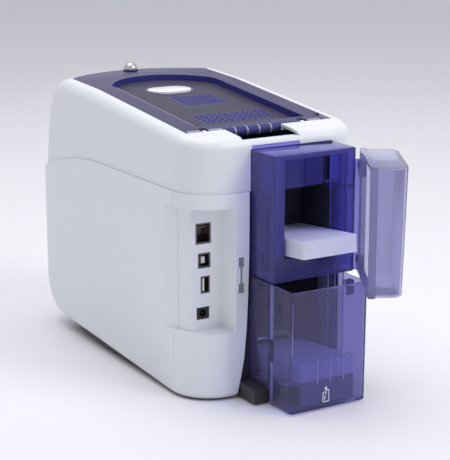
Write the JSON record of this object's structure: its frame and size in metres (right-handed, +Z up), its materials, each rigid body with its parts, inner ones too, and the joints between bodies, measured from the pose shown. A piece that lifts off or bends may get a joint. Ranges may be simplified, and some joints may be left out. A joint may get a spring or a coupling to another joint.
{
  "type": "desktop card printer",
  "caption": "Desktop plastic-card printer with a clear violet hinged lid, a card feeder with swinging door above an output hopper, and a corner port plate.",
  "frame": {"origin": "on the floor below the middle of the casing", "axes": "+X across the printer towards the door hinges, -Y towards the feeder and hopper, +Z up"},
  "size_m": [0.176, 0.4288, 0.2527],
  "materials": {
    "white_casing": "smooth, satin",
    "dark_plastic": "fine grain",
    "rubber": "matt",
    "sheet_steel": "rolled",
    "bright_steel": "ground",
    "board_green": "lacquered board",
    "black_parts": "moulded",
    "socket_metal": "tinned",
    "violet_clear": "clear, polished",
    "lid_violet": "clear, polished",
    "pale_violet_clear": "clear, polished",
    "card_plastic": "smooth",
    "gate_red": "moulded",
    "platform_plastic": "moulded",
    "button_white": "smooth",
    "chrome": "polished",
    "head_aluminium": "satin",
    "frame_white": "moulded",
    "ribbon_film": "glossy film",
    "cleaning_blue": "tacky"
  },
  "bodies": {
    "printer": {"base_tray": "dark_plastic", "feet": "rubber", "left_side_panel": "white_casing", "port_corner_panel": "white_casing", "right_side_panel": "white_casing", "far_end_panel": "white_casing", "upper_casing": "white_casing", "end_frame": "dark_plastic", "left_side_plate": "sheet_steel", "right_side_plate": "sheet_steel", "tie_bars": "bright_steel", "main_board": "board_green", "board_chips": "black_parts", "board_standoffs": "sheet_steel", "ethernet_socket": "socket_metal", "usb_b_socket": "socket_metal", "usb_a_socket": "socket_metal", "power_socket": "black_parts", "panel_clip": "dark_plastic", "feeder_housing": "violet_clear", "feeder_shelf": "dark_plastic", "card_chute": "dark_plastic", "input_cards": "card_plastic", "feeder_door_pins": "bright_steel", "hopper_body": "pale_violet_clear", "hopper_door_pins": "bright_steel", "hopper_platform": "platform_plastic", "output_cards": "card_plastic", "lid_pins": "bright_steel", "ribbon_frame": "frame_white", "ribbon_web": "ribbon_film", "card_guide": "dark_plastic", "drive_motor": "black_parts", "drive_belt": "rubber", "eject_belt": "rubber", "cover_screws": "bright_steel"},
    "lid": {"lid": "lid_violet", "lid_catch": "dark_plastic", "print_head_bracket": "sheet_steel", "print_head": "head_aluminium"},
    "release_button": {"lid_button": "button_white"},
    "ball_button": {"control_button": "chrome"},
    "feeder_door": {"feeder_door": "pale_violet_clear"},
    "hopper_door": {"hopper_door": "pale_violet_clear"},
    "gate": {"thickness_gate": "gate_red"},
    "supply": {"supply_spool": "frame_white"},
    "takeup": {"takeup_spool": "frame_white"},
    "feed_rotor": {"feed_roller": "rubber", "feed_shaft": "bright_steel"},
    "platen_rotor": {"platen_roller": "rubber", "platen_shaft": "bright_steel"},
    "transport_rotor": {"transport_roller": "rubber", "transport_shaft": "bright_steel"},
    "eject_rotor": {"eject_roller": "rubber", "eject_shaft": "bright_steel"},
    "motor_rotor": {"motor_pulley": "bright_steel"},
    "pinch": {"pinch_roller": "frame_white"},
    "cleaner": {"cleaning_roller": "cleaning_blue"}
  },
  "joints": [
    {"name": "lid_hinge", "type": "hinge", "parent": "printer", "child": "lid", "pos_m": [0.01, -0.109, 0.22168], "axis": [1, 0, 0], "range_deg": [0, 80]},
    {"name": "feeder_door_hinge", "type": "hinge", "parent": "printer", "child": "feeder_door", "pos_m": [0.055, -0.184, 0.16], "axis": [0, 0, 1], "range_deg": [-60, 50]},
    {"name": "hopper_door_hinge", "type": "hinge", "parent": "printer", "child": "hopper_door", "pos_m": [0.0495, -0.1803, 0.06], "axis": [0, 0, 1], "range_deg": [0, 115]},
    {"name": "release_press", "type": "slide", "parent": "lid", "child": "release_button", "axis": [0, 0, 1], "range_m": [-0.0025, 0], "stiffness_N_per_m": 400, "springref_m": 0.0015},
    {"name": "ball_press", "type": "slide", "parent": "lid", "child": "ball_button", "axis": [0, 0, 1], "range_m": [-0.0012, 0], "stiffness_N_per_m": 400, "springref_m": 0.0015},
    {"name": "gate_slide", "type": "slide", "parent": "printer", "child": "gate", "axis": [0, 0, 1], "range_m": [-0.0008, 0.0012]},
    {"name": "supply_turn", "type": "hinge", "parent": "printer", "child": "supply", "pos_m": [0.01, -0.092, 0.163], "axis": [1, 0, 0], "continuous": true},
    {"name": "takeup_turn", "type": "hinge", "parent": "printer", "child": "takeup", "pos_m": [0.01, 0.018, 0.163], "axis": [1, 0, 0], "continuous": true},
    {"name": "platen_turn", "type": "hinge", "parent": "printer", "child": "platen_rotor", "pos_m": [0.01, -0.05, 0.1127], "axis": [1, 0, 0], "continuous": true},
    {"name": "feed_turn", "type": "hinge", "parent": "printer", "child": "feed_rotor", "pos_m": [0.01, -0.13, 0.11552], "axis": [1, 0, 0], "continuous": true},
    {"name": "transport_turn", "type": "hinge", "parent": "printer", "child": "transport_rotor", "pos_m": [0.01, 0.03, 0.1142], "axis": [1, 0, 0], "continuous": true},
    {"name": "eject_turn", "type": "hinge", "parent": "printer", "child": "eject_rotor", "pos_m": [0.01, -0.1, 0.10356], "axis": [1, 0, 0], "continuous": true},
    {"name": "motor_turn", "type": "hinge", "parent": "printer", "child": "motor_rotor", "pos_m": [0.01, -0.05, 0.06], "axis": [1, 0, 0], "continuous": true},
    {"name": "pinch_turn", "type": "hinge", "parent": "printer", "child": "pinch", "pos_m": [0.01, 0.03, 0.12946], "axis": [1, 0, 0], "continuous": true},
    {"name": "cleaner_turn", "type": "hinge", "parent": "printer", "child": "cleaner", "pos_m": [0.01, -0.089, 0.12946], "axis": [1, 0, 0], "continuous": true}
  ],
  "couplings": [
    {"joint": "feed_turn", "follows": "platen_turn", "ratio": 1.1875},
    {"joint": "transport_turn", "follows": "platen_turn", "ratio": 1.1875},
    {"joint": "motor_turn", "follows": "platen_turn", "ratio": 2.375},
    {"joint": "eject_turn", "follows": "platen_turn", "ratio": 1.3571}
  ]
}
